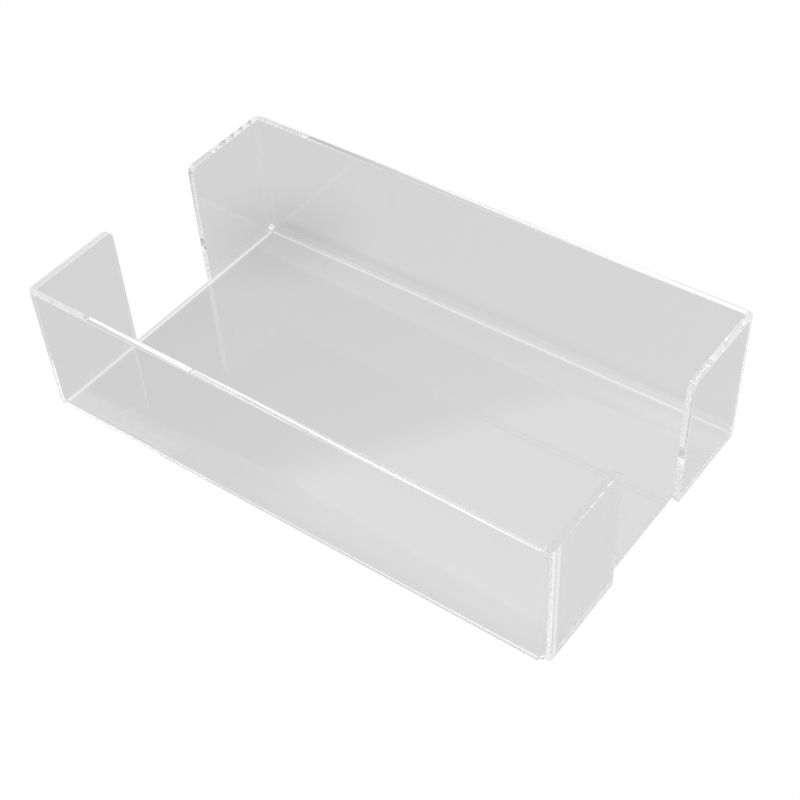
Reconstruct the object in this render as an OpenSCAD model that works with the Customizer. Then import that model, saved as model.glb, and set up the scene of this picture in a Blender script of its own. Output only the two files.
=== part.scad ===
// Napkin tray of clear sheet, open at the top and in the middle of both ends.
// A flat base carries two long walls. Each wall turns up out of the base in a
// bend and runs round both corners into a short return that laps the base end.
// The origin is on the table under the middle of the tray. X is the length,
// Y the width and Z up. The front wall is at low Y.

/* [Tray] */
// Length over the outer faces of the returns
tray_length = 240; // [160:1:320]
// Width over the outer faces of the long walls
tray_width = 141; // [110:1:200]
// Height of the walls and returns above the table
tray_height = 61.5; // [30:0.5:120]
// Thickness of the sheet
sheet = 3; // [2:0.25:5]

/* [Bends] */
// Radius on the inside of every bend
bend_inner = 1; // [0.5:0.25:3]

/* [End returns] */
// Reach of a return from the outer face of its wall towards the middle
return_reach = 46; // [20:1:52]
// Radius of the free top corner of a return
return_corner = 3; // [1:0.5:12]

/* [Corner reliefs] */
// Diameter of the relief that is bored out where two bends meet
relief_bore = 4.4; // [3:0.1:6]
// Distance of the middle of a relief from each outer face
relief_inset = 2.3; // [1.6:0.1:3.2]

/* [Fits] */
// Gap between a cut end of the base and the return that laps it
end_gap = 0.15; // [0.05:0.05:0.5]

/* [Hidden] */
$fn = 96;
// Radius on the outside of every bend
bend_outer = bend_inner + sheet;
// Length of a long wall between its two corner bends
wall_straight = tray_length - 2 * bend_outer;
// Base between the two returns and between the two long bends
base_length = tray_length - 2 * (sheet + end_gap);
base_width = tray_width - 2 * bend_outer;
// How far a cut runs past the surface that it opens
overrun = sheet;
acrylic_grey = [0.83, 0.84, 0.84, 0.55];

// Quarter ring in the first quadrant, with its middle at the origin
module bend_section() {
    intersection() {
        difference() {
            circle(r = bend_outer);
            circle(r = bend_inner);
        }
        square(bend_outer);
    }
}

// What a round of the given radius takes off a square corner at the origin,
// with the material in the first quadrant
module corner_waste(radius) {
    difference() {
        translate([-overrun, -overrun])
            square(radius + overrun);
        translate([radius, radius])
            circle(r = radius);
        translate([radius, -overrun])
            square(radius + 2 * overrun);
        translate([-overrun, radius])
            square(radius + 2 * overrun);
    }
}

// Plan of the rear wall: the long run, two corner bends and two returns
module wall_plan() {
    translate([-wall_straight / 2, tray_width / 2 - sheet])
        square([wall_straight, sheet]);
    for (side = [-1, 1])
        scale([side, 1]) {
            translate([wall_straight / 2, tray_width / 2 - bend_outer])
                bend_section();
            translate([tray_length / 2 - sheet, tray_width / 2 - return_reach])
                square([sheet, return_reach - bend_outer]);
        }
}

// Turns a profile drawn in Y and Z into a bar of the given length along X
module along_x(length) {
    translate([-length / 2, 0, 0])
        rotate([90, 0, 90])
            linear_extrude(height = length)
                children();
}

// Bend that turns the base up into the rear wall
module foot_bend() {
    along_x(wall_straight)
        translate([tray_width / 2 - bend_outer, bend_outer])
            mirror([0, 1])
                bend_section();
}

// Outside of the foot bend, carried on under both corner bends
module foot_waste() {
    along_x(tray_length + 2 * overrun)
        translate([tray_width / 2, 0])
            mirror([1, 0])
                corner_waste(bend_outer);
}

// Free top corners of both returns
module return_waste() {
    along_x(tray_length + 2 * overrun)
        translate([tray_width / 2 - return_reach, tray_height])
            mirror([0, 1])
                corner_waste(return_corner);
}

// One relief at each bottom corner, where the foot bend meets a corner bend
module corner_reliefs() {
    for (side_x = [-1, 1], side_y = [-1, 1])
        translate([
            side_x * (tray_length / 2 - relief_inset),
            side_y * (tray_width / 2 - relief_inset),
            relief_inset
        ])
            sphere(d = relief_bore);
}

// Long wall with its foot bend, corner bends and returns, at the rear
module bent_wall() {
    difference() {
        union() {
            difference() {
                linear_extrude(height = tray_height)
                    wall_plan();
                foot_waste();
            }
            foot_bend();
        }
        return_waste();
        corner_reliefs();
    }
}

// Flat floor of the tray, cut square at both ends
module base_panel() {
    color(acrylic_grey)
        difference() {
            translate([-base_length / 2, -base_width / 2, 0])
                cube([base_length, base_width, sheet]);
            corner_reliefs();
        }
}

// Long wall nearest the user, with the returns that it bends into
module front_wall() {
    color(acrylic_grey)
        mirror([0, 1, 0])
            bent_wall();
}

// Long wall at the back, with the returns that it bends into
module rear_wall() {
    color(acrylic_grey)
        bent_wall();
}

base_panel();
front_wall();
rear_wall();
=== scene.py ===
"""Looks of the clear acrylic napkin tray, with a white studio and the photograph's camera."""

import math
import random
from collections import namedtuple

import bmesh
import bpy
from mathutils import Matrix, Vector


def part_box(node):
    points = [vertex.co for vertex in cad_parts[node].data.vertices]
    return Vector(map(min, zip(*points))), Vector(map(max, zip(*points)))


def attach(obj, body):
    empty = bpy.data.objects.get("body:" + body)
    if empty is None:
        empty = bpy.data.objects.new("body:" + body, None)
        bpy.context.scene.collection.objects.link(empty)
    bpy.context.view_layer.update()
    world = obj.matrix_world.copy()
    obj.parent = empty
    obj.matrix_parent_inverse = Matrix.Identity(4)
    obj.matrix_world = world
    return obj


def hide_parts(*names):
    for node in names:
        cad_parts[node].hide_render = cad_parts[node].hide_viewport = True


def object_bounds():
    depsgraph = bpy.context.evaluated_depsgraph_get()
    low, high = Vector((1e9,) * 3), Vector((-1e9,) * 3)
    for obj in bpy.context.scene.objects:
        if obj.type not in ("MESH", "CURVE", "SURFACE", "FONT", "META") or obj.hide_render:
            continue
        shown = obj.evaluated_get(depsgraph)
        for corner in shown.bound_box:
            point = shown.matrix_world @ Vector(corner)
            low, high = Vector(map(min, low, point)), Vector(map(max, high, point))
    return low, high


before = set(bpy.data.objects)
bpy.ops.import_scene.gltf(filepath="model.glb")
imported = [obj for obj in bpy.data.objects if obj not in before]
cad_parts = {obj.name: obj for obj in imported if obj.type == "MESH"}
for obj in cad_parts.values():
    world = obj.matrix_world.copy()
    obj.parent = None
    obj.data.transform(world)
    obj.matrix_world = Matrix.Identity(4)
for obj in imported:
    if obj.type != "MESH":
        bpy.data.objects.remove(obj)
cad_low, cad_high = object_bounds()

# Sizes that the frame gives, in metres
MM = 0.001
base_low, base_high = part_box("base_panel")
wall_low, wall_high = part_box("rear_wall")
SHEET = base_high[2] - base_low[2]
HALF_LENGTH = wall_high[0]
HALF_WIDTH = wall_high[1]
HEIGHT = wall_high[2]
BASE_END = base_high[0]
SEAM = base_high[1]
BEND_OUTER = HALF_WIDTH - SEAM
BEND_INNER = BEND_OUTER - SHEET
RETURN_END = wall_low[1]
STRAIGHT = HALF_LENGTH - BEND_OUTER

# Sizes of the finish, in metres
RETURN_CORNER = 3.0 * MM
ARRIS = 0.2 * MM
SETTLE_HEIGHT = 4.0 * MM
FROST_FLAT = 2.8 * MM
HEAT_LINE = 0.5 * MM
RELIEF_SPARE = 0.02 * MM
LOWEST_ROW = 0.5 * MM
TINY = 0.0001 * MM

# Counts of the mesh
ARRIS_STEPS = 3
BEND_STEPS = 20
CORNER_STEPS = 4
RETURN_STEPS = 6
WALL_STEPS = 16
BASE_STEPS = 8
SETTLE_ROWS = 12
UPPER_ROWS = 20

# Settings of the modelling tools
ROUND_PROFILE = 0.5
FULL_WEIGHT = 100

# Foot bend: its length on the middle of the sheet, and the row of it where a relief opens
FOOT_ARC = math.pi / 2.0 * (BEND_INNER + SHEET / 2.0)
MOUTH = BEND_STEPS // 2

# Ragged frosting of the overheated bend, as shares of the bend that it covers
FROST_FROM = 0.05
FROST_TOP = 0.24
FROST_FOOT = 0.40
FROST_RAGGED = 0.2
FROST_SEED = 11

# Material slots of every acrylic mesh, in this order
FACE = 0
EDGE_X = 1
EDGE_Y = 2
EDGE_Z = 3
EDGE_LOW = 4
ARRIS_CUT = 5
BEND = 6
BUBBLES = 7
SEAM_CAP = 8

# Place on a wall's plan, its outward direction, the zone that it lies in and its share of a corner bend
Station = namedtuple("Station", "x y out_x out_y zone share")

# Strip on the floor along X: its middle and half width in Y, and its strengths at two places in X
Strip = namedtuple("Strip", "middle half_width ends strengths")


def ease(share):
    """Smooth step from 0 to 1."""
    share = min(max(share, 0.0), 1.0)
    return share * share * (3.0 - 2.0 * share)


def return_station(y):
    """Station on the flat of the right-hand return."""
    return Station(HALF_LENGTH, y, 1.0, 0.0, "return", 0.0)


def half_stations():
    """Stations round the right end of the rear wall's plan, from the free end of its return."""
    half = [return_station(RETURN_END + RETURN_CORNER * k / CORNER_STEPS) for k in range(CORNER_STEPS + 1)]
    flat_from = RETURN_END + RETURN_CORNER
    flat_to = SEAM - FROST_FLAT
    for k in range(1, RETURN_STEPS + 1):
        half.append(return_station(flat_from + (flat_to - flat_from) * k / RETURN_STEPS))
    half.append(return_station(SEAM - HEAT_LINE))
    for k in range(BEND_STEPS + 1):
        turn = math.radians(90.0 * k / BEND_STEPS)
        out_x = math.cos(turn)
        out_y = math.sin(turn)
        x = STRAIGHT + BEND_OUTER * out_x
        y = SEAM + BEND_OUTER * out_y
        half.append(Station(x, y, out_x, out_y, "corner", k / BEND_STEPS))
    return half


def wall_stations():
    """Stations along the rear wall's plan, from the left return's free end to the right one's."""
    right = half_stations()
    left = [station._replace(x=-station.x, out_x=-station.out_x) for station in right]
    middle = []
    for k in range(1, WALL_STEPS):
        x = -STRAIGHT + 2.0 * STRAIGHT * k / WALL_STEPS
        middle.append(Station(x, HALF_WIDTH, 0.0, 1.0, "wall", 1.0))
    return left + middle + right[::-1]


STATIONS = wall_stations()


def station_rows(station):
    """Places up a station, measured along the sheet from the seam with the base.

    Over a corner the rows start at the round mouth of the relief, and settle to level ones above it."""
    mouth = FOOT_ARC / 2.0
    if station.zone == "corner":
        across = 2.0 * station.share - 1.0
        mouth += (FOOT_ARC / 2.0 - RELIEF_SPARE) * math.sqrt(max(0.0, 1.0 - across * across))
    lowest = FOOT_ARC * LOWEST_ROW / BEND_OUTER if station.share == 0.0 else FOOT_ARC / BEND_STEPS
    ceiling = FOOT_ARC + SETTLE_HEIGHT
    brow = FOOT_ARC + HEIGHT - BEND_OUTER - RETURN_CORNER
    rows = [0.0]
    rows += [lowest + (FOOT_ARC / 2.0 - lowest) * k / (MOUTH - 1) for k in range(MOUTH - 1)]
    steps = BEND_STEPS + SETTLE_ROWS - MOUTH
    rows += [mouth + (ceiling - mouth) * k / steps for k in range(steps + 1)]
    rows += [ceiling + (brow - ceiling) * k / UPPER_ROWS for k in range(1, UPPER_ROWS + 1)]
    rows += [brow + RETURN_CORNER * k / CORNER_STEPS for k in range(1, CORNER_STEPS + 1)]
    return rows


def rounded(y, z):
    """Draws a point near the free top corner of a return in, so that the square corner becomes round."""
    across = (RETURN_END + RETURN_CORNER - y) / RETURN_CORNER
    up = (z - HEIGHT + RETURN_CORNER) / RETURN_CORNER
    if across <= 0.0 or up <= 0.0:
        return y, z
    y = RETURN_END + RETURN_CORNER * (1.0 - across * math.sqrt(1.0 - up * up / 2.0))
    z = HEIGHT - RETURN_CORNER * (1.0 - up * math.sqrt(1.0 - across * across / 2.0))
    return y, z


def wall_point(station, row, depth, side):
    """Point of the wall at a row, a depth into the sheet. side is 1 at the rear and -1 at the front."""
    if row >= FOOT_ARC:
        inset = 0.0
        z = BEND_OUTER + row - FOOT_ARC
    else:
        curl = {"return": 0.0, "wall": 1.0, "corner": ease(station.share)}[station.zone]
        turn = row / FOOT_ARC * math.pi / 2.0
        radius = BEND_OUTER - depth
        inset = curl * radius * (1.0 - math.sin(turn))
        curled_z = BEND_OUTER - radius * math.cos(turn)
        z = curl * curled_z + (1.0 - curl) * BEND_OUTER * row / FOOT_ARC
    back = depth + inset
    y = station.y - station.out_y * back
    if station.zone == "return":
        y, z = rounded(y, z)
    return Vector((station.x - station.out_x * back, side * y, z))


def in_corner(i):
    """Whether the cells from station i to the next lie in a corner bend."""
    return STATIONS[i].zone == "corner" and STATIONS[i + 1].zone == "corner"


def in_straight(i):
    """Whether the cells from station i to the next lie along the straight of the wall."""
    return max(abs(STATIONS[i].x), abs(STATIONS[i + 1].x)) <= STRAIGHT + TINY


def wall_present(i, j):
    """Whether the wall has this cell: the reliefs take the foot bend away under the corners."""
    return j >= MOUTH or not in_corner(i)


def wall_rim(a, b):
    """What a side of the wall's rim is: a seam, a relief or a worked edge."""
    if a[1] == 0 and b[1] == 0 and in_straight(min(a[0], b[0])):
        return "seam"
    if a[1] == b[1] == MOUTH:
        return "relief"
    if a[1] != b[1] and max(a[1], b[1]) <= MOUTH and a[0] not in (0, len(STATIONS) - 1):
        return "relief"
    return "edge"


def frosted(i, height, ragged):
    """Whether a cell lies in one of the two bands beside the heat line of a right-hand corner bend."""
    if STATIONS[i].x < 0.0:
        return False
    if STATIONS[i + 1].zone == "return":
        y = (STATIONS[i].y + STATIONS[i + 1].y) / 2.0
        return SEAM - FROST_FLAT < y < SEAM - HEAT_LINE
    share = (STATIONS[i].share + STATIONS[i + 1].share) / 2.0
    reach = FROST_FOOT + (FROST_TOP - FROST_FOOT) * height / HEIGHT
    return FROST_FROM < share < reach * (1.0 + FROST_RAGGED * (2.0 * ragged.random() - 1.0))


def cell_ring(i, j):
    """Places of a cell's four corners in the grid, in order round it."""
    return [(i, j), (i + 1, j), (i + 1, j + 1), (i, j + 1)]


def open_sides(cells):
    """Sides of the cells that no other cell shares."""
    sides = {}
    for i, j in cells:
        ring = cell_ring(i, j)
        for a, b in zip(ring, ring[1:] + ring[:1]):
            if (b, a) in sides:
                del sides[(b, a)]
            else:
                sides[(a, b)] = True
    return list(sides)


def edge_slot(first, second):
    """Material slot of a cut edge, by the axis that it runs along and by its height."""
    along = second - first
    parts = [abs(along.x), abs(along.y), abs(along.z)]
    slot = (EDGE_X, EDGE_Y, EDGE_Z)[parts.index(max(parts))]
    return EDGE_LOW if slot == EDGE_Y and first.z < SHEET else slot


def sheet_mesh(name, outer, inner, present, rim_kind, zone_of):
    """A closed sheet solid from two matching grids of points.

    present(i, j) says whether a cell is there, and zone_of(i, j) gives its material slot. rim_kind(a, b)
    says what a side of the rim is. Only an edge gets worked arrises."""
    bm = bmesh.new()
    columns = range(len(outer) - 1)
    rows = range(len(outer[0]) - 1)
    cells = [(i, j) for i in columns for j in rows if present(i, j)]
    used = sorted({key for cell in cells for key in cell_ring(*cell)})
    out_vert = {key: bm.verts.new(outer[key[0]][key[1]]) for key in used}
    in_vert = {key: bm.verts.new(inner[key[0]][key[1]]) for key in used}
    for i, j in cells:
        ring = cell_ring(i, j)
        zone = zone_of(i, j)
        face = bm.faces.new([out_vert[key] for key in ring])
        face.material_index = zone
        face = bm.faces.new([in_vert[key] for key in reversed(ring)])
        face.material_index = BEND if zone == BUBBLES else zone
    worked = []
    for a, b in open_sides(cells):
        face = bm.faces.new([out_vert[b], out_vert[a], in_vert[a], in_vert[b]])
        kind = rim_kind(a, b)
        face.material_index = SEAM_CAP if kind == "seam" else edge_slot(out_vert[a].co, out_vert[b].co)
        if kind == "edge":
            worked.append(bm.edges.get((out_vert[a], out_vert[b])))
            worked.append(bm.edges.get((in_vert[a], in_vert[b])))
    bm.normal_update()
    bmesh.ops.bevel(
        bm,
        geom=worked,
        offset=ARRIS,
        segments=ARRIS_STEPS,
        profile=ROUND_PROFILE,
        affect="EDGES",
        clamp_overlap=False,
        material=ARRIS_CUT,
    )
    bmesh.ops.recalc_face_normals(bm, faces=bm.faces)
    for face in bm.faces:
        face.smooth = True
    mesh = bpy.data.meshes.new(name)
    bm.to_mesh(mesh)
    bm.free()
    piece = bpy.data.objects.new(name, mesh)
    bpy.context.scene.collection.objects.link(piece)
    return piece


def wall_piece(name, side, overheated=False):
    """Long wall with its foot bend, corner bends and returns. side is 1 at the rear, -1 at the front."""
    outer = []
    inner = []
    for station in STATIONS:
        rows = station_rows(station)
        outer.append([wall_point(station, row, 0.0, side) for row in rows])
        inner.append([wall_point(station, row, SHEET, side) for row in rows])
    ragged = random.Random(FROST_SEED)

    def zone_of(i, j):
        if overheated and frosted(i, outer[i][j].z, ragged):
            return BUBBLES
        return BEND if in_corner(i) or (in_straight(i) and j < BEND_STEPS) else FACE

    return sheet_mesh(name, outer, inner, wall_present, wall_rim, zone_of)


def base_piece(name):
    """The flat base, with cut ends and a seam along each long bend."""
    inside = [-STRAIGHT + 2.0 * STRAIGHT * k / WALL_STEPS for k in range(WALL_STEPS + 1)]
    xs = [-BASE_END] + inside + [BASE_END]
    ys = [-SEAM + 2.0 * SEAM * k / BASE_STEPS for k in range(BASE_STEPS + 1)]
    outer = [[Vector((x, y, 0.0)) for y in ys] for x in xs]
    inner = [[Vector((x, y, SHEET)) for y in ys] for x in xs]

    def rim_kind(a, b):
        if a[1] != b[1]:
            return "edge"
        return "relief" if min(a[0], b[0]) in (0, len(xs) - 2) else "seam"

    return sheet_mesh(name, outer, inner, lambda i, j: True, rim_kind, lambda i, j: FACE)


def weighted_normals(piece):
    """Keeps the big faces flat and lets the arrises and bends carry the turn."""
    modifier = piece.modifiers.new("weighted_normals", "WEIGHTED_NORMAL")
    modifier.mode = "FACE_AREA"
    modifier.weight = FULL_WEIGHT
    modifier.keep_sharp = True
    graph = bpy.context.evaluated_depsgraph_get()
    mesh = bpy.data.meshes.new_from_object(piece.evaluated_get(graph))
    piece.modifiers.clear()
    piece.data = mesh


WHITE = (1.0, 1.0, 1.0, 1.0)

# Acrylic. Scales are in cycles per metre, and a window is the part of the noise that is used
ACRYLIC_IOR = 1.49
BEND_TINT = (0.985, 0.988, 0.986, 1.0)
FACE_TONE = 0.987
SPECK_TONE = 0.72
SPECK_SCALE = 45.0
SPECK_SIZE = (0.008, 0.014)
WAVE_SCALE = 22.0
WAVE_STRENGTH = 0.015
WAVE_HEIGHT = 1.0 * MM
RIPPLE_SCALE = 500.0
RIPPLE_STRENGTH = 0.03
RIPPLE_HEIGHT = 0.1 * MM
MARKS_ALONG = 300.0
MARKS_ACROSS = 40.0
NICK_SCALE = 250.0
POLISH_WINDOW = (0.5, 0.7)
POLISH = (0.0, 0.02)
SAWN_ALONG = 500.0
SAWN_ACROSS = 60.0
SAWN_WINDOW = (0.3, 0.7)
SAWN = (0.25, 0.4)
SAWN_LEFT = 0.05
GRAIN_SCALE = (2000.0, 2000.0, 700.0)
GRAIN_WINDOW = (0.35, 0.6)
GRAIN_TONE = (0.93, 1.0)
FROST_CLEAR = 0.35
FROST_ROUGHNESS = 0.05
# Painted shade on the upright edges at the rear, fading out towards the table between two heights
REAR_END_PAINTED_SHADE = 0.73
REAR_END_HEIGHTS = (18.0 * MM, 26.0 * MM)


class Net:
    """Node tree of one material or of the world, with a short call for each node that repeats."""

    def __init__(self, tree, output):
        self.nodes = tree.nodes
        self.links = tree.links
        self.nodes.clear()
        self.output = self.nodes.new(output)

    def show(self, shader):
        """Makes a shader the surface, or in the world the background."""
        self.links.new(shader, self.output.inputs["Surface"])

    def feed(self, value, socket):
        """Sets a socket to a number, or links another one to it."""
        if isinstance(value, (int, float)):
            socket.default_value = value
        else:
            self.links.new(value, socket)

    def place(self, kind="Object"):
        """Coordinates of the object itself in metres, or in the world the direction of sight."""
        return self.nodes.new("ShaderNodeTexCoord").outputs[kind]

    def axis(self, name):
        """One coordinate of the object itself, in metres."""
        apart = self.nodes.new("ShaderNodeSeparateXYZ")
        self.links.new(self.place(), apart.inputs["Vector"])
        return apart.outputs[name]

    def maths(self, operation, first, second=0.0):
        """One sum on numbers or sockets. Some operations use the first alone."""
        node = self.nodes.new("ShaderNodeMath")
        node.operation = operation
        self.feed(first, node.inputs[0])
        self.feed(second, node.inputs[1])
        return node.outputs["Value"]

    def spread(self, source, given, wanted, shape="LINEAR"):
        """Maps a value from one pair of ends to another, held at the ends."""
        node = self.nodes.new("ShaderNodeMapRange")
        node.interpolation_type = shape
        node.inputs["From Min"].default_value = given[0]
        node.inputs["From Max"].default_value = given[1]
        node.inputs["To Min"].default_value = wanted[0]
        node.inputs["To Max"].default_value = wanted[1]
        self.links.new(source, node.inputs["Value"])
        return node.outputs["Result"]

    def smooth(self, source, given, wanted):
        """The same, with a soft start and end."""
        return self.spread(source, given, wanted, "SMOOTHSTEP")

    def blend(self, share, first, second):
        """Mix of two numbers, where a share of 1 gives the second."""
        node = self.nodes.new("ShaderNodeMix")
        node.data_type = "FLOAT"
        self.feed(share, node.inputs["Factor"])
        self.feed(first, node.inputs["A"])
        self.feed(second, node.inputs["B"])
        return node.outputs["Result"]

    def mix(self, share, first, second):
        """Mix of two shaders, where a share of 1 gives the second."""
        node = self.nodes.new("ShaderNodeMixShader")
        self.links.new(share, node.inputs["Fac"])
        self.links.new(first, node.inputs[1])
        self.links.new(second, node.inputs[2])
        return node.outputs["Shader"]

    def noise(self, scale, detail=0.0):
        """Noise over the object's own coordinates, in cycles per metre along X, Y and Z."""
        place = self.nodes.new("ShaderNodeMapping")
        place.inputs["Scale"].default_value = scale
        self.links.new(self.place(), place.inputs["Vector"])
        node = self.nodes.new("ShaderNodeTexNoise")
        node.inputs["Scale"].default_value = 1.0
        node.inputs["Detail"].default_value = detail
        self.links.new(place.outputs["Vector"], node.inputs["Vector"])
        return node.outputs["Fac"]

    def bump(self, shader, height, strength, distance):
        """Tilts a shader's normals by a height map. distance is its full height, in metres."""
        node = self.nodes.new("ShaderNodeBump")
        node.inputs["Strength"].default_value = strength
        node.inputs["Distance"].default_value = distance
        self.links.new(height, node.inputs["Height"])
        self.links.new(node.outputs["Normal"], shader.inputs["Normal"])

    def grey(self, value, socket):
        """Feeds one value to all three channels of a colour socket."""
        node = self.nodes.new("ShaderNodeCombineColor")
        for channel in ("Red", "Green", "Blue"):
            self.links.new(value, node.inputs[channel])
        self.links.new(node.outputs["Color"], socket)

    def acrylic(self, colour=WHITE, clear=1.0, roughness=0.0):
        """Principled acrylic. clear is the share that it lets through, and the rest is a white scuff."""
        shader = self.nodes.new("ShaderNodeBsdfPrincipled")
        shader.inputs["Base Color"].default_value = colour
        shader.inputs["Transmission Weight"].default_value = clear
        shader.inputs["IOR"].default_value = ACRYLIC_IOR
        shader.inputs["Roughness"].default_value = roughness
        return shader

    def glow(self, strength):
        """Plain white emission."""
        node = self.nodes.new("ShaderNodeEmission")
        node.inputs["Color"].default_value = WHITE
        self.feed(strength, node.inputs["Strength"])
        return node.outputs["Emission"]


def new_material(name):
    """A material with an empty node tree, and the net that fills it."""
    material = bpy.data.materials.new(name)
    material.use_nodes = True
    return material, Net(material.node_tree, "ShaderNodeOutputMaterial")


def face_material():
    """Polished faces: mirror smooth, with a slow wave from the heat and a few specks of dust."""
    material, net = new_material("acrylic_face")
    shader = net.acrylic()
    wave = net.noise((WAVE_SCALE, WAVE_SCALE, WAVE_SCALE))
    net.bump(shader, wave, WAVE_STRENGTH, WAVE_HEIGHT)
    cells = net.nodes.new("ShaderNodeTexVoronoi")
    cells.inputs["Scale"].default_value = SPECK_SCALE
    net.links.new(net.place(), cells.inputs["Vector"])
    speck = net.spread(cells.outputs["Distance"], SPECK_SIZE, (SPECK_TONE, FACE_TONE))
    net.grey(speck, shader.inputs["Base Color"])
    net.show(shader.outputs["BSDF"])
    return material


def edge_material(axis):
    """Cut edges along one axis: faint saw marks across the edge, under a scraped polish.

    Of the upright ones, those at the rear are darkened with painted shade, except near the table."""
    material, net = new_material("acrylic_edge_" + axis.lower())
    shader = net.acrylic()
    marks = net.noise([MARKS_ALONG if name == axis else MARKS_ACROSS for name in "XYZ"], detail=1.0)
    net.feed(net.spread(marks, POLISH_WINDOW, POLISH), shader.inputs["Roughness"])
    if axis == "Z":
        rear = net.spread(net.axis("Y"), (0.0, RETURN_END), (0.0, 1.0))
        high = net.spread(net.axis("Z"), REAR_END_HEIGHTS, (0.0, 1.0))
        # Painted shade: the rear upright edges are tinted darker above the table
        painted_shade = net.blend(net.maths("MULTIPLY", rear, high), 1.0, REAR_END_PAINTED_SHADE)
        net.grey(painted_shade, shader.inputs["Base Color"])
    net.show(shader.outputs["BSDF"])
    return material


def low_edge_material():
    """Edges at the table, polished on the left and as sawn on the right, where they spread the light."""
    material, net = new_material("acrylic_edge_low")
    shader = net.acrylic()
    marks = net.noise((SAWN_ACROSS, SAWN_ALONG, SAWN_ACROSS), detail=1.0)
    rough = net.spread(marks, SAWN_WINDOW, SAWN)
    share = net.spread(net.axis("X"), (0.0, STRAIGHT), (SAWN_LEFT, 1.0))
    net.feed(net.maths("MULTIPLY", rough, share), shader.inputs["Roughness"])
    net.show(shader.outputs["BSDF"])
    return material


def arris_material():
    """Scraped arrises, with fine nicks."""
    material, net = new_material("acrylic_arris")
    shader = net.acrylic()
    nicks = net.noise((NICK_SCALE, NICK_SCALE, NICK_SCALE), detail=1.0)
    net.feed(net.spread(nicks, POLISH_WINDOW, POLISH), shader.inputs["Roughness"])
    net.show(shader.outputs["BSDF"])
    return material


def bend_material():
    """Heated bends: clear, with fine ripples."""
    material, net = new_material("acrylic_bend")
    shader = net.acrylic(BEND_TINT)
    ripples = net.noise((RIPPLE_SCALE, RIPPLE_SCALE, RIPPLE_SCALE), detail=1.0)
    net.bump(shader, ripples, RIPPLE_STRENGTH, RIPPLE_HEIGHT)
    net.show(shader.outputs["BSDF"])
    return material


def bubble_material():
    """Small bubbles under the skin of an overheated bend: a white frosting, but clear from within."""
    material, net = new_material("acrylic_bubbles")
    frost = net.acrylic(clear=FROST_CLEAR, roughness=FROST_ROUGHNESS)
    grains = net.noise(GRAIN_SCALE, detail=1.0)
    net.grey(net.spread(grains, GRAIN_WINDOW, GRAIN_TONE), frost.inputs["Base Color"])
    side = net.nodes.new("ShaderNodeNewGeometry")
    net.show(net.mix(side.outputs["Backfacing"], frost.outputs["BSDF"], net.acrylic().outputs["BSDF"]))
    return material


def seam_material():
    """The seam: both sheets are one clear body there, so light passes straight on."""
    material, net = new_material("seam")
    net.show(net.nodes.new("ShaderNodeBsdfTransparent").outputs["BSDF"])
    return material


materials = [
    face_material(),
    edge_material("X"),
    edge_material("Y"),
    edge_material("Z"),
    low_edge_material(),
    arris_material(),
    bend_material(),
    bubble_material(),
    seam_material(),
]

pieces = {
    "base_panel": base_piece("base"),
    "front_wall": wall_piece("front_side", -1, overheated=True),
    "rear_wall": wall_piece("rear_side", 1),
}
for node, piece in pieces.items():
    for material in materials:
        piece.data.materials.append(material)
    weighted_normals(piece)
    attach(piece, "root")
    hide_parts(node)

# Camera, from a fit to the straight edges of the photograph
CAMERA_AT = Vector((0.27602, -0.33831, 0.43228))
CAMERA_AZIMUTH = math.radians(130.048)
CAMERA_DROP = math.radians(48.290)
CAMERA_ROLL = math.radians(-4.575)
FOCAL_PIXELS = 1501.26
AXIS_PIXEL = (380.78, 511.76)
FRAME_PIXELS = 800.0
SENSOR_MM = 36.0
CLIP_START = 10.0 * MM


def photo_axes():
    """The camera's right, up and forward directions."""
    level = math.cos(CAMERA_DROP)
    across = level * math.cos(CAMERA_AZIMUTH)
    along = level * math.sin(CAMERA_AZIMUTH)
    forward = Vector((across, along, -math.sin(CAMERA_DROP)))
    level_right = forward.cross(Vector((0.0, 0.0, 1.0))).normalized()
    level_up = level_right.cross(forward)
    right = math.cos(CAMERA_ROLL) * level_right + math.sin(CAMERA_ROLL) * level_up
    up = math.cos(CAMERA_ROLL) * level_up - math.sin(CAMERA_ROLL) * level_right
    return right, up, forward


def photo_ray(pixel):
    """Direction from the camera through a pixel of the photograph."""
    right, up, forward = photo_axes()
    across = (pixel[0] - AXIS_PIXEL[0]) / FOCAL_PIXELS
    down = (pixel[1] - AXIS_PIXEL[1]) / FOCAL_PIXELS
    return (forward + across * right - down * up).normalized()


def make_camera():
    """The photograph's camera, set as the scene's own."""
    data = bpy.data.cameras.new("camera")
    data.sensor_width = SENSOR_MM
    data.lens = FOCAL_PIXELS / FRAME_PIXELS * SENSOR_MM
    data.shift_x = 0.5 - AXIS_PIXEL[0] / FRAME_PIXELS
    data.shift_y = AXIS_PIXEL[1] / FRAME_PIXELS - 0.5
    data.clip_start = CLIP_START
    camera = bpy.data.objects.new("camera", data)
    bpy.context.scene.collection.objects.link(camera)
    right, up, forward = photo_axes()
    turn = Matrix((right, up, -forward)).transposed().to_4x4()
    camera.matrix_world = Matrix.Translation(CAMERA_AT) @ turn
    bpy.context.scene.camera = camera


make_camera()

# Studio floor. Brightness is a strength, here and in all that follows
FLOOR_HALF = 3000.0 * MM
FLOOR_DROP = 0.2 * MM
# Painted shade and light: the floor's grey is darker at the left end and lighter at the right
GREY_LEFT = 0.66
GREY_RIGHT = 0.685

# Soft pool of light in front of the tray, and the places where it fades out
POOL = 0.28
POOL_SIDE = (-35.0 * MM, 10.0 * MM)
POOL_REAR = (-HALF_WIDTH - 12.0 * MM, -HALF_WIDTH)
POOL_FRONT = (-150.0 * MM, -78.0 * MM)

# Thin line of light at the base's left end, and a soft band under the left returns
CAUSTIC = 0.22
CAUSTIC_WIDTH = 1.3 * MM
UNDER_RETURN = 0.15

# Length over which a line, band or strip fades out at its ends
END_FADE = 1.3 * MM

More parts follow.
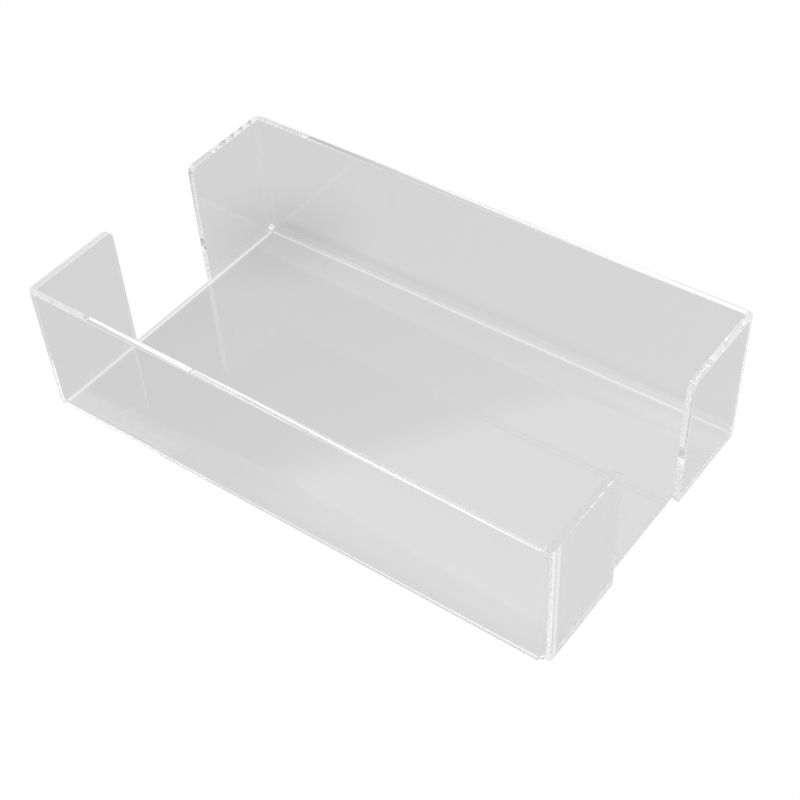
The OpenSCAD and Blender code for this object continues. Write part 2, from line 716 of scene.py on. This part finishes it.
# Strips along the rear foot bend, from the inside out. Light is above zero and shade below
REAR_STRIPS = [
    Strip(HALF_WIDTH - 10.5 * MM, 9.0 * MM, (20.0 * MM, STRAIGHT), (0.0, 0.085)),
    Strip(HALF_WIDTH - 3.6 * MM, 2.6 * MM, (-STRAIGHT, STRAIGHT), (0.04, 0.11)),
    Strip(HALF_WIDTH + 1.7 * MM, 1.6 * MM, (-60.0 * MM, 80.0 * MM), (-0.09, 0.0)),
    Strip(HALF_WIDTH + 3.1 * MM, 1.7 * MM, (0.0, STRAIGHT), (0.0, 0.17)),
    Strip(HALF_WIDTH + 6.5 * MM, 6.0 * MM, (-STRAIGHT, STRAIGHT), (-0.066, -0.012)),
]

# Shade at the far left corner
SHADE = 0.10
SHADE_AT = (-HALF_LENGTH + 8.0 * MM, HALF_WIDTH)
SHADE_REACH = 50.0 * MM

# Bright room with one dim card, which the base and the far panels mirror. Pixels are the photograph's
SKY_BRIGHT = 1.2
SKY_DIM = 0.55
SKY_DEEP = 0.25
DEEP_ANGLE = 0.13
CARD_FADE = 0.012
CARD_ANGLES = (math.radians(45.0), math.radians(35.0))
EDGE_OF_LIGHT = ((240.0, 490.0), (600.0, 380.0))
LIGHT_SIDE = (650.0, 600.0)
DIM_MIDDLE = (300.0, 280.0)


def mirrored(pixel):
    """Direction in which the base reflects the line of sight through a pixel."""
    ray = photo_ray(pixel)
    return Vector((ray.x, ray.y, -ray.z))


def light_edge():
    """Normal of the plane that holds the edge of the dim card, on its bright side."""
    normal = mirrored(EDGE_OF_LIGHT[0]).cross(mirrored(EDGE_OF_LIGHT[1])).normalized()
    return normal if normal.dot(mirrored(LIGHT_SIDE)) > 0.0 else -normal


def band(net, value, middle, half_width, height):
    """Soft band of the given height where the value is near its middle."""
    off = net.maths("ABSOLUTE", net.maths("SUBTRACT", value, middle))
    return net.smooth(off, (0.0, half_width), (height, 0.0))


def within(net, light, value, limit):
    """Holds light to where the value is no further from zero than the limit."""
    inside = net.smooth(net.maths("ABSOLUTE", value), (limit - END_FADE, limit), (1.0, 0.0))
    return net.maths("MULTIPLY", light, inside)


def corner_shade(net, x, y):
    """Soft round spot at the far left corner."""
    across = net.maths("SUBTRACT", x, SHADE_AT[0])
    along = net.maths("SUBTRACT", y, SHADE_AT[1])
    square = net.maths("ADD", net.maths("MULTIPLY", across, across), net.maths("MULTIPLY", along, along))
    return net.smooth(net.maths("SQRT", square), (0.0, SHADE_REACH), (SHADE, 0.0))


def front_pool(net, x, y):
    """Light pooled in front of the near wall, from its middle to past its right end."""
    pool = net.smooth(x, POOL_SIDE, (0.0, POOL))
    rear = net.smooth(y, POOL_REAR, (1.0, 0.0))
    front = net.smooth(y, POOL_FRONT, (0.0, 1.0))
    return net.maths("MULTIPLY", net.maths("MULTIPLY", pool, rear), front)


def end_light(net, x, y):
    """Light under the left end: a thin line at the base's cut end, and a soft band under the returns."""
    line = band(net, x, -BASE_END, CAUSTIC_WIDTH, CAUSTIC)
    under = band(net, x, -HALF_LENGTH + SHEET / 2.0, SHEET, UNDER_RETURN)
    return within(net, net.maths("ADD", line, under), y, SEAM)


def rear_light(net, x, y):
    """Light and shade that the rear foot bend throws under and behind itself."""
    light = 0.0
    for strip in REAR_STRIPS:
        across = band(net, y, strip.middle, strip.half_width, 1.0)
        along = net.spread(x, strip.ends, strip.strengths)
        light = net.maths("ADD", net.maths("MULTIPLY", across, along), light)
    return within(net, light, x, HALF_LENGTH)


def floor_level(net):
    """Brightness of the floor as the acrylic shows it."""
    x = net.axis("X")
    y = net.axis("Y")
    level = net.spread(x, (-HALF_LENGTH, HALF_LENGTH), (GREY_LEFT, GREY_RIGHT))
    level = net.maths("SUBTRACT", level, corner_shade(net, x, y))
    level = net.maths("ADD", level, front_pool(net, x, y))
    level = net.maths("ADD", level, end_light(net, x, y))
    return net.maths("ADD", level, rear_light(net, x, y))


def floor_material():
    """White for the camera, and a grey floor for all that the acrylic refracts and mirrors.

    Clear acrylic would vanish in front of white. The grey is at the level of the panels in the
    photograph, with the light and shade that the tray throws on the floor near its edges."""
    material, net = new_material("studio_floor")
    seen = net.nodes.new("ShaderNodeLightPath").outputs["Is Camera Ray"]
    net.show(net.mix(seen, net.glow(floor_level(net)), net.glow(1.0)))
    return material


def studio_floor():
    """Wide flat floor, just under the tray."""
    mesh = bpy.data.meshes.new("studio_floor")
    corners = [(-1, -1), (1, -1), (1, 1), (-1, 1)]
    mesh.from_pydata([(x * FLOOR_HALF, y * FLOOR_HALF, 0.0) for x, y in corners], [], [(0, 1, 2, 3)])
    floor = bpy.data.objects.new("studio_floor", mesh)
    floor.location.z = cad_low[2] - FLOOR_DROP
    floor.data.materials.append(floor_material())
    bpy.context.scene.collection.objects.link(floor)


def toward(net, direction):
    """Cosine between the direction of sight and a fixed one."""
    node = net.nodes.new("ShaderNodeVectorMath")
    node.operation = "DOT_PRODUCT"
    node.inputs[1].default_value = direction
    net.links.new(net.place("Generated"), node.inputs[0])
    return node.outputs["Value"]


def studio_world():
    """White for the camera. The acrylic sees a bright room with one dim card, high on the far left."""
    world = bpy.data.worlds.new("studio")
    bpy.context.scene.world = world
    world.use_nodes = True
    net = Net(world.node_tree, "ShaderNodeOutputWorld")
    depth = toward(net, light_edge())
    past_edge = net.smooth(depth, (-CARD_FADE, CARD_FADE), (1.0, 0.0))
    middle = toward(net, mirrored(DIM_MIDDLE))
    inside = net.smooth(middle, [math.cos(angle) for angle in CARD_ANGLES], (0.0, 1.0))
    card = net.spread(depth, (-DEEP_ANGLE, 0.0), (SKY_DEEP, SKY_DIM))
    level = net.blend(net.maths("MULTIPLY", past_edge, inside), SKY_BRIGHT, card)
    seen = net.nodes.new("ShaderNodeLightPath").outputs["Is Camera Ray"]
    background = net.nodes.new("ShaderNodeBackground")
    background.inputs["Color"].default_value = WHITE
    net.feed(net.blend(seen, level, 1.0), background.inputs["Strength"])
    net.show(background.outputs["Background"])


studio_floor()
studio_world()

# Light has to pass many faces of the sheet before it is spent
BOUNCES = 200
cycles = bpy.context.scene.cycles
cycles.max_bounces = BOUNCES
cycles.transmission_bounces = BOUNCES
cycles.glossy_bounces = BOUNCES
cycles.transparent_max_bounces = BOUNCES
cycles.diffuse_bounces = BOUNCES
bpy.context.scene.view_settings.view_transform = "Standard"
